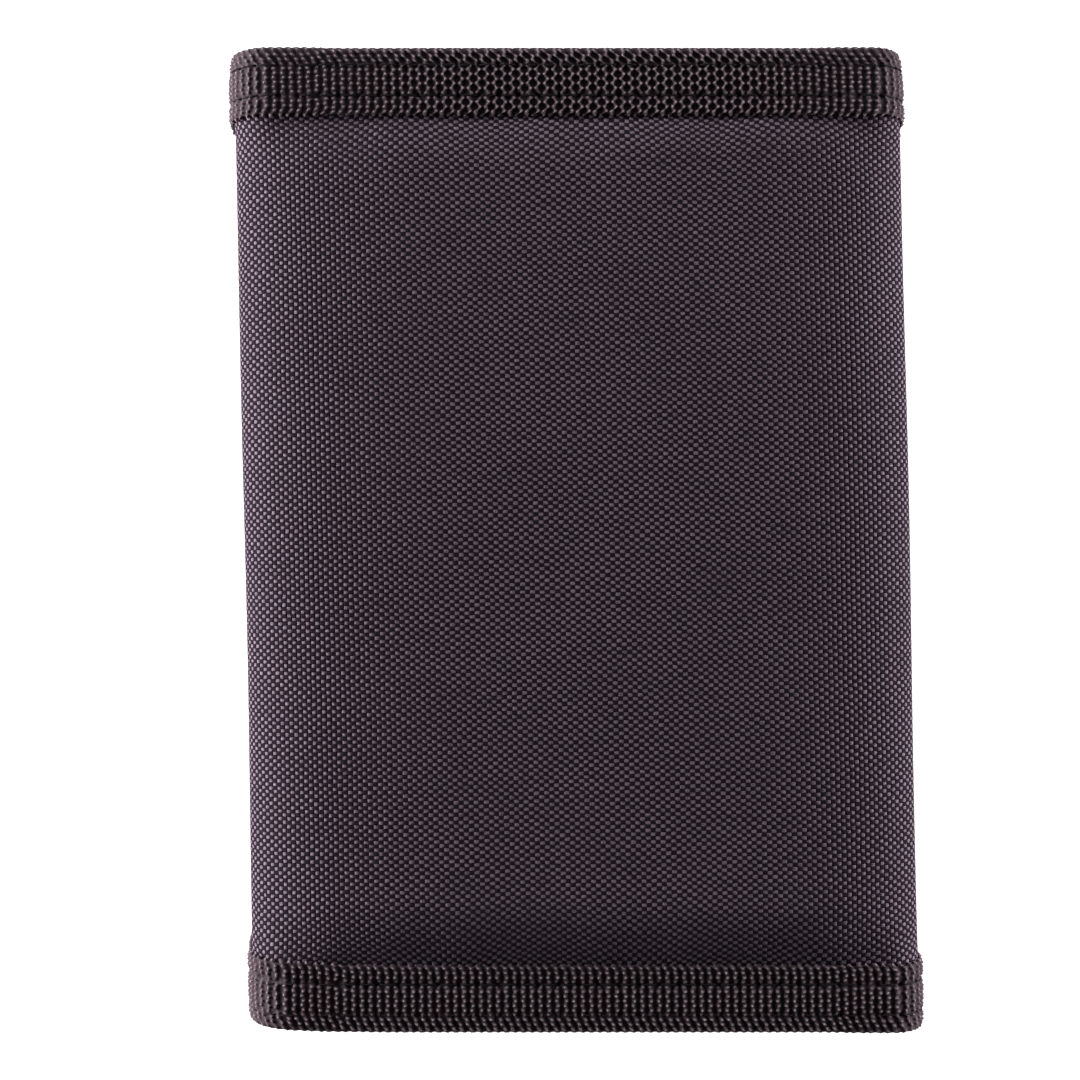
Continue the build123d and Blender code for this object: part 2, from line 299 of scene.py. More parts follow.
def point_vectors(piece, name, values):
    """Stores a vector at each point of the piece, for its material to read."""
    layer = piece.data.attributes.new(name, "FLOAT_VECTOR", "POINT")
    layer.data.foreach_set("vector", values.reshape(-1, 3).astype(np.float32).ravel())


def point_numbers(piece, name, values):
    """Stores a number at each point of the piece, for its material to read."""
    layer = piece.data.attributes.new(name, "FLOAT", "POINT")
    layer.data.foreach_set("value", values.astype(np.float32).ravel())


sharp_angle = math.radians(50)


def closed_between(name, outer, inner, material):
    """A closed piece: the outer grid, the inner grid behind it, and four walls between their
    borders. Its outer faces look along the outer grid's normals, and it stays sharp where two faces
    meet at more than sharp_angle."""
    columns, rows = outer.shape[:2]
    number = np.arange(columns * rows).reshape(columns, rows)
    a, b, c, d = number[:-1, :-1], number[1:, :-1], number[1:, 1:], number[:-1, 1:]
    outside = np.stack([a, b, c, d], axis=-1).reshape(-1, 4)
    inside = outside[:, ::-1] + columns * rows
    border = np.concatenate([number[:, 0], number[-1, 1:], number[-2::-1, -1], number[0, -2:0:-1]])
    following = np.roll(border, -1)
    walls = np.stack([following, border, border + columns * rows, following + columns * rows], axis=-1)
    faces = np.concatenate([outside, inside, walls]).tolist()
    piece = mesh_piece(name, np.concatenate([outer.reshape(-1, 3), inner.reshape(-1, 3)]), faces, material)
    piece.data.set_sharp_from_angle(angle=sharp_angle)
    return piece


def walled_sheet(name, outer, thickness, cloth_place, material):
    """A closed sheet of cloth behind the outer grid: the inner grid is the outer one moved inwards
    along its normals by the thickness."""
    piece = closed_between(name, outer, outer - grid_normals(outer) * thickness, material)
    point_vectors(piece, "cloth_place", np.concatenate([cloth_place.reshape(-1, 3)] * 2))
    return piece


def node_maker(material):
    """Two short functions for a material's nodes: add puts in a node and sets or links its inputs by
    name, and maths puts in a Math node and gives back its result."""
    tree = material.node_tree

    def add(kind, **inputs):
        node = tree.nodes.new(kind)
        for key, value in inputs.items():
            if hasattr(value, "is_output"):
                tree.links.new(value, node.inputs[key])
            else:
                node.inputs[key].default_value = value
        return node

    def maths(operation, *values, clamp=False):
        node = tree.nodes.new("ShaderNodeMath")
        node.operation = operation
        node.use_clamp = clamp
        for socket, value in zip(node.inputs, values):
            if hasattr(value, "is_output"):
                tree.links.new(value, socket)
            else:
                socket.default_value = value
        return node.outputs[0]

    return add, maths


def woven_cloth(name, warp_pitch, weft_pitch, dark, light, bump, roughness, sheen):
    """Plain weave from cloth_place (millimetres on the flat cloth): the product of two cosines is
    positive where the weft lies on top and negative where the warp does. Each side is scaled up,
    held to 1 and taken to the power 0.6, which makes full floats. The weft's floats get the light
    colour, a painted highlight for the sheen of the lights on them. The scales of the noises are per
    millimetre."""
    waver = 0.35  # mm that the threads stray from their lines
    weft_fullness, warp_fullness, float_power = 2.8, -2.5, 0.6
    fibre_power, fibre_gain = 2.4, 5.2
    material = painted(name, {
        "Roughness": roughness,
        "Sheen Weight": sheen,
        "Sheen Roughness": 0.4,
        "Specular IOR Level": 0.02,
    })
    tree = material.node_tree
    add, maths = node_maker(material)
    shader = tree.nodes["Principled BSDF"]
    place = tree.nodes.new("ShaderNodeAttribute")
    place.attribute_name = "cloth_place"
    wobble = add("ShaderNodeTexNoise", Vector=place.outputs["Vector"], Scale=0.35, Detail=1.0)
    axes = add("ShaderNodeSeparateXYZ", Vector=place.outputs["Vector"])
    shift = maths("MULTIPLY", maths("SUBTRACT", wobble.outputs["Fac"], 0.5), waver)
    across = maths("MULTIPLY", maths("ADD", axes.outputs["X"], shift), math.pi / warp_pitch)
    along = maths("MULTIPLY", maths("ADD", axes.outputs["Y"], shift), math.pi / weft_pitch)
    weave = maths("MULTIPLY", maths("COSINE", across), maths("COSINE", along))
    narrow = maths("POWER", maths("ABSOLUTE", maths("COSINE", across)), 0.2)
    weft_up = maths("POWER", maths("MULTIPLY", weave, weft_fullness, clamp=True), float_power)
    weft_up = maths("MULTIPLY", weft_up, narrow)
    warp_up = maths("POWER", maths("MULTIPLY", weave, warp_fullness, clamp=True), float_power)

    # the painted highlight on the weft floats is a little stronger or weaker from thread to thread, with
    # its fibres and in broad patches all over
    weft_number = maths("FLOOR", maths("ADD", maths("DIVIDE", axes.outputs["Y"], weft_pitch), 0.5))
    thread = add("ShaderNodeCombineXYZ", X=maths("MULTIPLY", axes.outputs["X"], 0.15), Y=weft_number)
    tint = add("ShaderNodeTexNoise", Vector=thread.outputs["Vector"], Scale=1.7, Detail=2.0)
    fibre = add("ShaderNodeTexNoise", Vector=place.outputs["Vector"], Scale=4.2, Detail=3.0)
    patch = add("ShaderNodeTexNoise", Vector=place.outputs["Vector"], Scale=0.045, Detail=2.0)
    thread_tint = maths("ADD", 0.35, maths("MULTIPLY", tint.outputs["Fac"], 1.3))
    fibre_tint = maths("MULTIPLY", maths("POWER", fibre.outputs["Fac"], fibre_power), fibre_gain)
    patch_tint = maths("ADD", 0.7, maths("MULTIPLY", patch.outputs["Fac"], 0.6))
    # how much painted highlight each weft float gets
    painted_float_highlight = maths("MULTIPLY", maths("MULTIPLY", weft_up, thread_tint), fibre_tint)
    painted_float_highlight = maths("MULTIPLY", painted_float_highlight, patch_tint, clamp=True)
    colour = add("ShaderNodeMix")
    colour.data_type = "RGBA"
    tree.links.new(painted_float_highlight, colour.inputs["Factor"])
    colour.inputs["A"].default_value = (*dark, 1)
    colour.inputs["B"].default_value = (*light, 1)
    tree.links.new(colour.outputs["Result"], shader.inputs["Base Color"])

    height = maths("ADD", weft_up, maths("MULTIPLY", warp_up, 0.7))
    height = maths("ADD", height, maths("MULTIPLY", fibre.outputs["Fac"], 0.12))
    relief = add("ShaderNodeBump", Height=height, Strength=0.8, Distance=bump)
    tree.links.new(relief.outputs["Normal"], shader.inputs["Normal"])
    return material


outer_warp, outer_weft = 0.748, 0.574  # mm from thread to thread
# the light colour is the painted highlight on the weft floats
outer_cloth = woven_cloth("outer_cloth", outer_warp, outer_weft, (0.0124, 0.0077, 0.0132),
                          (0.158, 0.119, 0.149), bump=0.42 * mm, roughness=0.8, sheen=0.0)

# Each panel is held along its seams, so the cloth between them has a few soft waves, which are
# strongest where the tape gathers it.
gather_height, gather_rise, gather_fade = 0.16 * mm, 1.2 * mm, 4.5 * mm
slow_height, slow_rise = 0.13 * mm, 8 * mm
drag_reach, drag_fade, drag_wave = 0.9 * mm, 7 * mm, 4.6 * mm
sheet_step = 0.9 * mm
rows_y = np.concatenate([
    np.linspace(-cloth_half, -tape_start, 9)[:-1],
    np.linspace(-tape_start, -tape_start + bottom_run, 18)[:-1],
    np.linspace(-tape_start + bottom_run, tape_start - bottom_run, 100)[:-1],
    np.linspace(tape_start - bottom_run, tape_start, 18)[:-1],
    np.linspace(tape_start, cloth_half, 9),
])


def gathers(s, y):
    """Height of the small waves in the cloth: two sines along the strip, 18 and 11 mm long, which
    rise from nothing at the tape and die away from it exponentially, and a slow product of sines,
    about 90 by 120 mm, all over."""
    from_tape = np.clip(tape_start - np.abs(y), 0, None)
    near = np.exp(-from_tape / gather_fade) * (1 - np.exp(-from_tape / gather_rise))
    side = np.sign(y)
    waves = np.sin(s / (2.9 * mm) + side) + 0.7 * np.sin(s / (1.7 * mm) + 2.1 * side)
    slow = np.sin(s / (14 * mm) + y / (31 * mm)) * np.sin(y / (19 * mm) + 0.6)
    return gather_height * near * waves + slow_height * slow * np.clip(from_tape / slow_rise, 0, 1)


strip = strip_stretches(sheet_step)
bodies_of = {
    "cover": ("cover",),
    "left_lower": ("cover", "cover_fold"),
    "left_upper": ("cover_fold", "back"),
    "back": ("back",),
    "right_upper": ("back", "flap_fold"),
    "right_lower": ("flap_fold", "flap"),
    "flap": ("flap",),
}


def hang_on(piece, stretch):
    """The piece rides on its panel's body; a quarter fold's piece only has its place baked in."""
    bodies = bodies_of[stretch]
    if len(bodies) == 1:
        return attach(piece, bodies[0])
    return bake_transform(piece)


cloth_start = {}
run = 0.0
for stretch, (padded, sewn) in strip.items():
    cloth_start[stretch] = run
    run += lengths(padded)[-1]

shell_names = {
    "cover": ("cover_outer_cloth", "cover_shell"),
    "left_lower": ("wide_fold_cloth_lower", "cover_fold_shell"),
    "left_upper": ("wide_fold_cloth_upper", "cover_fold_shell"),
    "back": ("back_outer_cloth", "back_shell"),
    "right_upper": ("narrow_fold_cloth_upper", "flap_fold_shell"),
    "right_lower": ("narrow_fold_cloth_lower", "flap_fold_shell"),
    "flap": ("flap_outer_cloth", "flap_shell"),
}


def strip_surface(padded, sewn, start, rows):
    """Grid of the strip's outside: between the sewn and the padded outline by swell(y), plus the
    gathers along the normals. It is pressed flat where it would go below the table."""
    share = swell(padded[:, :1], rows[None, :])[..., None]
    section = sewn[:, None, :] * (1 - share) + padded[:, None, :] * share
    grid = np.empty((len(padded), len(rows), 3))
    grid[..., 0], grid[..., 2] = section[..., 0], section[..., 1]
    grid[..., 1] = rows[None, :]
    s = (start + lengths(padded))[:, None]
    grid = grid + grid_normals(grid) * gathers(s, rows[None, :])[..., None]
    grid[..., 2] = np.maximum(grid[..., 2], table_gap)
    return grid


def cloth_coordinates(start, line, rows):
    """Millimetres on the flat cloth: along the strip and along its width, which is square to it. Near
    the tape the sewing has dragged the cloth along the seam: a sine along the strip that fades away."""
    s = (start + lengths(line))[:, None] + 0 * rows[None, :]
    y = rows[None, :] + 0 * s
    from_tape = np.clip(tape_start - np.abs(y), 0, None)
    drag = drag_reach * np.exp(-from_tape / drag_fade) * np.sin(s / drag_wave + 2.0 * np.sign(y))
    return np.stack([s, y - lean * s + drag, 0 * s], axis=-1) / mm


for stretch, (padded, sewn) in strip.items():
    name, node = shell_names[stretch]
    outer = strip_surface(padded, sewn, cloth_start[stretch], rows_y)
    place = cloth_coordinates(cloth_start[stretch], padded, rows_y)
    cloth = walled_sheet(name, leaned(outer), cloth_thickness, place, outer_cloth)
    hang_on(cloth, stretch)
    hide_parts(node)

# ==== Foam ====================================================================================
# A sheet of soft closed-cell foam lies behind the outer cloth of each panel. It is sewn flat under
# the tape and swells between the seams.

foam_paint = painted("soft_foam", {"Base Color": (0.05, 0.05, 0.05, 1), "Roughness": 0.95})
foam_clearance = 0.05 * mm

for stretch, fill in (("cover", 0.4), ("back", 0.7), ("flap", 0.3)):
    node = f"{stretch}_foam"
    low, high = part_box(node)
    outer = strip_surface(*strip[stretch], cloth_start[stretch], rows_y)
    skin = outer - grid_normals(outer) * (cloth_thickness + foam_clearance)
    far = skin.copy()
    far[..., 2] = low.z + foam_clearance if stretch == "back" else high.z - foam_clearance
    pad = closed_between(f"{stretch}_foam_pad", leaned(skin), leaned(far), foam_paint)
    hang_on(pad, stretch)
    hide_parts(node)

# ==== Lining ==================================================================================
# Thin smooth polyester lines the whole inside. It is cut to the outer cloth's size, sewn under the
# same tape, and creases across the folds because it has less room there than the outer cloth.

lining_warp, lining_weft = 0.42, 0.38  # mm from thread to thread
# here too the light colour is the painted highlight on the weft floats
lining_cloth = woven_cloth("lining_cloth", lining_warp, lining_weft, (0.016, 0.0145, 0.017),
                           (0.055, 0.051, 0.058), bump=0.03 * mm, roughness=0.5, sheen=0.1)
lining_thickness = 0.4 * mm
lining_clearance = 0.04 * mm
crease_height, crease_fade = 0.16 * mm, 3 * mm
lining_wave, lining_held = -0.06 * mm, 6 * mm
cover_lining_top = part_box("cover_lining")[1].z
back_lining_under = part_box("back_lining")[0].z
flap_lining_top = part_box("flap_lining")[1].z


def flat_line(first, last, z, count):
    """A straight outline from x = first to x = last at height z."""
    return np.stack([np.linspace(first, last, count), np.full(count, z)], axis=1)


lining_lines = {
    "cover": flat_line(cover_box[1].x, left_start, cover_lining_top, 96),
    "back": flat_line(left_start, right_start, back_lining_under, 92),
    "flap": flat_line(right_start, flap_box[0].x, flap_lining_top, 40),
}
fold_panels = {
    "left_lower": (left_centre, left_start, cover_lining_top),
    "left_upper": (left_centre, left_start, back_lining_under),
    "right_upper": (right_centre, right_start, back_lining_under),
    "right_lower": (right_centre, right_start, flap_lining_top),
}
lining_names = {
    "cover": ("cover_inner_lining", "cover_lining"),
    "left_lower": ("wide_fold_lining_lower", "cover_fold_lining"),
    "left_upper": ("wide_fold_lining_upper", "cover_fold_lining"),
    "back": ("back_inner_lining", "back_lining"),
    "right_upper": ("narrow_fold_lining_upper", "flap_fold_lining"),
    "right_lower": ("narrow_fold_lining_lower", "flap_fold_lining"),
    "flap": ("flap_inner_lining", "flap_lining"),
}
lining_rows = np.linspace(-cloth_half, cloth_half, 150)
lining_free = smooth_step((tape_start - np.abs(lining_rows)) / lining_held)[None, :]
for stretch, (name, node) in lining_names.items():
    if stretch in fold_panels:
        # In a fold it lies behind the outer cloth, deeper by creases that are two sines along the
        # fold, 14 and 8 mm long, and then eases by a smooth step to the level of the panel's lining.
        centre, start, panel_z = fold_panels[stretch]
        outer = strip_surface(*strip[stretch], cloth_start[stretch], lining_rows)
        along = lengths(strip[stretch][0])[:, None]
        ends = smooth_step(along / crease_fade) * smooth_step((along[-1] - along) / crease_fade)
        wave = np.sin(lining_rows / (2.3 * mm)) + 0.6 * np.sin(lining_rows / (1.31 * mm) + 1.0)
        depth = cloth_thickness + lining_thickness + crease_height * ends * lining_free * (1.6 - wave)
        grid = outer - grid_normals(outer) * depth[..., None]
        ease = smooth_step((outer[..., 0] - centre) / (start - centre))
        grid[..., 2] = grid[..., 2] * (1 - ease) + panel_z * ease
        grid = grid[::-1]
    else:
        # On a panel it is flat but for a shallow product of sines, 57 by 88 mm.
        line = lining_lines[stretch][::-1]
        grid = np.empty((len(line), len(lining_rows), 3))
        grid[..., 0], grid[..., 1], grid[..., 2] = line[:, :1], lining_rows, line[:, 1:]
        s = lengths(line)[:, None]
        waves = lining_wave * (1 + np.sin(s / (9 * mm)) * np.sin(lining_rows / (14 * mm))[None, :])
        grid = grid + grid_normals(grid) * (waves * lining_free)[..., None]
    s = lengths(grid[:, grid.shape[1] // 2, [0, 2]])[:, None]
    place = np.stack([s + 0 * lining_rows, lining_rows + 0 * s, 0 * s + 0 * lining_rows], axis=-1) / mm
    cloth = walled_sheet(name, leaned(grid), lining_thickness - lining_clearance, place, lining_cloth)
    hang_on(cloth, stretch)
    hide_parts(node)

# ==== Card pockets ============================================================================
# Three flat pockets of lining cloth lie one on another inside the cover, each mouth 8 mm short of
# the one below. Each is turned under and top-stitched at its mouth, and sewn down at both ends.

pocket_hem = 3.2 * mm
pocket_seam = 1.6 * mm
pocket_thickness = 0.26 * mm
hem_height, sag_height, seam_depth = 0.10 * mm, 0.12 * mm, 0.14 * mm
mouth_seam = 0.5 * mm  # from the hem's inner edge to its stitching
pocket_step = 0.4 * mm


def seam_dip(distance, width=0.5 * mm):
    """1 on a line of stitching and falling away from it as a bell curve."""
    return np.exp(-((distance / width) ** 2))


# A pocket is flat, plus a step up at its hem, plus half the size of a sine of sag that dies out at
# its sewn ends, less a dip along each line of stitching.
for order, node in enumerate(("card_pocket_low", "card_pocket_middle", "card_pocket_high")):
    low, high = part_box(node)
    x = np.linspace(low.x, high.x, round((high.x - low.x) / pocket_step))[:, None]
    y = np.linspace(low.y, high.y, 200)[None, :]
    from_mouth = high.x - x
    from_end = np.abs(low.y) - np.abs(y)
    hem = hem_height * (smooth_step((pocket_hem - from_mouth) / (0.8 * mm)) + 0 * y)
    sag = sag_height * np.sin(y / (11 * mm) + order) * smooth_step(from_end / (8 * mm))
    sag = sag * smooth_step((x - low.x) / (12 * mm))
    dip = seam_depth * np.maximum(seam_dip(from_mouth - pocket_hem + mouth_seam) + 0 * y,
                                  seam_dip(from_end - pocket_seam) + 0 * x)
    face = high.z - hem_height + hem + np.abs(sag) * 0.5 - dip
    grid = np.stack([x + 0 * y, y + 0 * x, face], axis=-1)
    place = np.stack([grid[..., 1], grid[..., 0], 0 * grid[..., 0]], axis=-1) / mm
    pocket = walled_sheet(f"{node}_cloth", leaned(grid), pocket_thickness, place, lining_cloth)
    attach(pocket, "cover")
    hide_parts(node)

# ==== Passport sleeve =========================================================================
# A wide sleeve of lining cloth across the inside of the back panel takes the passport's cover. It
# is sewn in under the tape at both ends, and its open edge is trimmed with the same ribbed tape.

low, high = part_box("passport_sleeve")
sleeve_thickness = 0.36 * mm
sleeve_clearance = 0.02 * mm
ripple_height = 0.14 * mm
# flat, plus half the size of two sines along it, 53 and 23 mm long, that die out at its sewn ends
x = np.linspace(high.x, low.x, 180)[:, None]
y = np.linspace(low.y, high.y, 220)[None, :]
from_end = high.y - np.abs(y)
free = smooth_step(from_end / (10 * mm)) * smooth_step((x - low.x) / (12 * mm))
waves = np.sin(y / (8.5 * mm) + x / (40 * mm)) + 0.4 * np.sin(y / (3.7 * mm) + 2)
ripple = ripple_height * free * waves
grid = np.stack([x + 0 * y, y + 0 * x, low.z + sleeve_clearance + np.abs(ripple) * 0.5], axis=-1)
place = np.stack([grid[..., 1], grid[..., 0], 0 * grid[..., 0]], axis=-1) / mm
sleeve = walled_sheet("passport_sleeve_cloth", leaned(grid), sleeve_thickness, place, lining_cloth)
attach(sleeve, "back")
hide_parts("passport_sleeve")

# ==== Hook and loop patches ===================================================================
# A strip of hook tape is sewn inside the cover and a strip of loop tape outside the flap. The hooks
# are short stiff bent threads in rows, and the loops a low mat of soft threads.


def threads(paths, radius, sides):
    """Closed round threads. paths is (thread, point, 3). Each point gets a ring square to the
    thread: the point plus the radius times (cos t) one way and (sin t) the other. One way is along
    the normal of the thread's own plane, or +Y for a straight thread. The end rings are capped."""
    count, length = paths.shape[:2]
    travel = np.gradient(paths, axis=1)
    travel /= np.linalg.norm(travel, axis=2, keepdims=True)
    chord = np.cross(paths[:, length // 2] - paths[:, 0], paths[:, -1] - paths[:, 0])
    size = np.linalg.norm(chord, axis=1, keepdims=True)
    chord = np.where(size > 1e-12, chord / np.maximum(size, 1e-12), [0.0, 1.0, 0.0])
    across = chord[:, None, :] - travel * np.sum(chord[:, None, :] * travel, axis=2, keepdims=True)
    across /= np.linalg.norm(across, axis=2, keepdims=True)
    over = np.cross(travel, across)
    turn = np.linspace(0, 2 * np.pi, sides, endpoint=False)
    ring = across[:, :, None, :] * np.cos(turn)[None, None, :, None]
    ring = ring + over[:, :, None, :] * np.sin(turn)[None, None, :, None]
    points = paths[:, :, None, :] + radius * ring
    number = np.arange(count * length * sides).reshape(count, length, sides)
    following = np.roll(number, -1, axis=2)
    walls = np.stack([number[:, :-1], following[:, :-1], following[:, 1:], number[:, 1:]], axis=-1)
    caps = np.concatenate([number[:, 0, ::-1], number[:, -1]]).tolist()
    return points.reshape(-1, 3), walls.reshape(-1, 4).tolist() + caps


def plain_fabric(name, colour, roughness):
    """A plain dull fabric."""
    return painted(name, {"Base Color": (*colour, 1), "Roughness": roughness, "Specular IOR Level": 0.12})


def block(name, low, high, material):
    """A closed flat block between two corners."""
    top = np.array([[[x, y, high.z] for y in (low.y, high.y)] for x in (low.x, high.x)])
    bottom = top.copy()
    bottom[..., 2] = low.z
    return closed_between(name, leaned(top), leaned(bottom), material)


ground = 0.25 * mm  # the woven ground that the hooks and loops stand on
root_sink = 0.03 * mm
hook_fabric = plain_fabric("hook_tape", (0.02, 0.02, 0.021), 0.6)
hook_pitch_x, hook_pitch_y = 1.0 * mm, 1.15 * mm
hook_stem, hook_bend, hook_rise, hook_radius = 0.26 * mm, 0.16 * mm, 0.14 * mm, 0.06 * mm
hook_margin, hook_last_x, hook_last_y = 0.9 * mm, 1.0 * mm, 0.6 * mm
low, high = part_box("hook_patch")
base = block("hook_patch_ground", low, Vector((high.x, high.y, low.z + ground)), hook_fabric)
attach(base, "cover")
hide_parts("hook_patch")
# a hook is an upright stem and then 225 degrees of an ellipse, and its row gives its way of facing
bend = np.linspace(0, 1.25 * np.pi, 6)
hook_x, hook_z = hook_bend * (1 - np.cos(bend)), hook_stem + hook_rise * np.sin(bend)
hook = np.stack([np.append(0, hook_x), np.zeros(7), np.append(0, hook_z)], axis=1)
root_x, root_y = np.meshgrid(np.arange(low.x + hook_margin, high.x - hook_last_x, hook_pitch_x),
                             np.arange(low.y + hook_margin, high.y - hook_last_y, hook_pitch_y),
                             indexing="ij")
root_z = np.full(root_x.size, low.z + ground - root_sink)
roots = np.stack([root_x.ravel(), root_y.ravel(), root_z], axis=1)
way = np.where((np.arange(root_x.size) // root_x.shape[1]) % 2 == 0, 1.0, -1.0)[:, None, None]
hooks = roots[:, None, :] + hook[None] * np.concatenate([way, 0 * way + 1, 0 * way + 1], axis=2)
points, faces = threads(hooks, hook_radius, 4)
hook_rows = mesh_piece("hook_patch_hooks", leaned(points), faces, hook_fabric)
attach(hook_rows, "cover")
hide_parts("hook_patch")

loop_fabric = plain_fabric("loop_tape", (0.026, 0.024, 0.027), 0.8)
loop_count, loop_margin = 2200, 0.5 * mm
loop_width, loop_radius = 0.9 * mm, 0.045 * mm
loop_lowest, loop_tallest = 0.30, 0.60  # mm
low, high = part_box("loop_patch")
base = block("loop_patch_ground", Vector((low.x, low.y, high.z - ground)), high, loop_fabric)
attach(base, "flap")
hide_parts("loop_patch")
seeded = np.random.default_rng(7)
feet = seeded.uniform((low.x + loop_margin, low.y + loop_margin),
                      (high.x - loop_margin, high.y - loop_margin), (loop_count, 2))
facing = seeded.uniform(0, 2 * np.pi, loop_count)
tall = seeded.uniform(loop_lowest, loop_tallest, loop_count) * mm
# a loop is a parabola that stands on the ground at both feet
arch = np.linspace(-0.5, 0.5, 6)
spread = loop_width * arch
loops = np.empty((loop_count, 6, 3))
loops[..., 0] = feet[:, :1] + np.cos(facing)[:, None] * spread
loops[..., 1] = feet[:, 1:] + np.sin(facing)[:, None] * spread
loops[..., 2] = high.z - ground + root_sink - tall[:, None] * (1 - (2 * arch) ** 2)
loops[..., :2] = np.clip(loops[..., :2], (low.x, low.y), (high.x, high.y))
points, faces = threads(loops, loop_radius, 3)
loop_mat = mesh_piece("loop_patch_loops", leaned(points), faces, loop_fabric)
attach(loop_mat, "flap")
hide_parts("loop_patch")

# ==== Name card window ========================================================================
# A pane of clear soft vinyl on the inside of the flap, held on all sides by a narrow border of
# folded cloth that is top-stitched to the lining. A name card slides in behind it.

vinyl = painted("clear_vinyl", {"Base Color": (0.92, 0.94, 0.95, 1), "Roughness": 0.12, "Alpha": 0.055})
pane_thickness, pane_clearance = 0.16 * mm, 0.02 * mm
pane_wave, pane_held = 0.08 * mm, 6 * mm
# flat, plus a product of two sines, 31 by 57 mm, that dies out at the border
low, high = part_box("id_window")
y = np.linspace(low.y, high.y, 60)[None, :]
x = np.linspace(low.x, high.x, 28)[:, None]
inside = smooth_step((x - low.x) / pane_held) * smooth_step((high.x - x) / pane_held)
inside = inside * smooth_step((high.y - np.abs(y)) / pane_held)
wave = pane_wave * inside * np.sin(x / (5 * mm) + 0.4) * np.sin(y / (9 * mm))
grid = np.stack([x + 0 * y, y + 0 * x, high.z - pane_clearance + wave], axis=-1)
pane = walled_sheet("name_card_window", leaned(grid), pane_thickness, grid / mm, vinyl)
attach(pane, "flap")
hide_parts("id_window")


def ring_between(name, outer, inner, cloth_place, material):
    """A closed flat ring: the outer grid, whose first index runs round and closes, the inner grid
    behind it, and a wall between them along each of the ring's two rims."""
    around, across = outer.shape[:2]
    number = np.arange(around * across).reshape(around, across)
    following = np.roll(number, -1, axis=0)
    a, b, c, d = number[:, :-1], following[:, :-1], following[:, 1:], number[:, 1:]
    outside = np.stack([a, b, c, d], axis=-1).reshape(-1, 4)
    step = around * across
    a, b = following[:, 0], number[:, 0]
    outer_rim = np.stack([a, b, b + step, a + step], axis=-1)
    a, b = number[:, -1], following[:, -1]
    inner_rim = np.stack([a, b, b + step, a + step], axis=-1)
    faces = np.concatenate([outside, outside[:, ::-1] + step, outer_rim, inner_rim]).tolist()
    piece = mesh_piece(name, np.concatenate([outer.reshape(-1, 3), inner.reshape(-1, 3)]), faces, material)
    point_vectors(piece, "cloth_place", np.concatenate([cloth_place.reshape(-1, 3)] * 2))
    return piece


low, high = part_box("id_window_frame")
border = 4 * mm
border_bulge, border_dip, border_sink = 0.10 * mm, 0.12 * mm, 0.05 * mm
border_seam_width = 0.35 * mm
half_x, half_y = (high.x - low.x) / 2, (high.y - low.y) / 2
middle_x = (low.x + high.x) / 2
across = np.linspace(0, 1, 13)
ring_count = 300
# once round the border: one turn is four sides, and x and y go from -1 to 1 along theirs
turn = np.linspace(0, 4, ring_count, endpoint=False)
round_x = np.interp(turn, [0, 1, 2, 3, 4], [-1, 1, 1, -1, -1])[:, None]
round_y = np.interp(turn, [0, 1, 2, 3, 4], [-1, -1, 1, 1, -1])[:, None]
inset = (border * across)[None, :]
stitched = seam_dip((across - 0.5) * border, border_seam_width)
bulge = border_bulge * np.sin(np.pi * across) ** 0.5 - border_dip * stitched
grid = np.stack([
    middle_x + round_x * (half_x - inset),
    round_y * (half_y - inset),
    high.z - border_sink + bulge[None, :] + 0 * round_x,
], axis=-1)
under = grid.copy()
under[..., 2] = low.z
place = grid[..., [1, 0, 2]] / mm
window_border = ring_between("window_border", leaned(grid), leaned(under), place, lining_cloth)
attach(window_border, "flap")
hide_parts("id_window_frame")

# ==== Binding tape ============================================================================
# Ribbed polyester tape, folded lengthwise over both long edges of the strip and sewn through with
# two rows. Its ribs stand across it like strings of beads, and loops join them at its woven edges.

tape_thickness = 0.7 * mm
fold_depth = 1.0 * mm  # the folded edge is pressed flatter than a half circle
rib_pitch = 1.27 * mm
bead_pitch = 0.70 * mm
rib_half_width = 0.20  # of the pitch
rib_height = 0.5 * mm
rib_middle = 0.6  # the share of a rib's height that the tape's plain thickness reaches
hook_run = 1.4 * mm  # how far from the woven edge the threads start to hook
top_slant, top_pinch = 0.62, 0.45 * mm
bottom_slant, bottom_pinch = -0.45, 0.1 * mm
least_sway, middle_sway, edge_sway = 0.09, 0.13, 0.12
edge_slant = 0.4
row_from_fold = 2.9 * mm
row_from_edge = 3.0 * mm
row_half_width = 0.42 * mm
row_depth = 0.22 * mm
stitch_pitch = 3.0 * mm
hole_half_width, hole_depth = 0.38 * mm, 0.3 * mm
pinch_run = 7 * mm
seam_layers = 1.0 * mm  # cloth and lining inside the tape where there is no foam
foam_run = 7 * mm  # from a fold to where the foam is full under the tape
overlap_run = 1.2 * mm
# the tape's hidden half reaches further in than the one on the face, by a little or more
rear_overlap = {("top", "left"): 0.9 * mm, ("top", "right"): 1.6 * mm,
                ("bottom", "left"): 2.1 * mm, ("bottom", "right"): 1.3 * mm}
corner_trim = 0.75 * mm
corner_trim_from = -28 * mm
corner_trim_run = 22 * mm


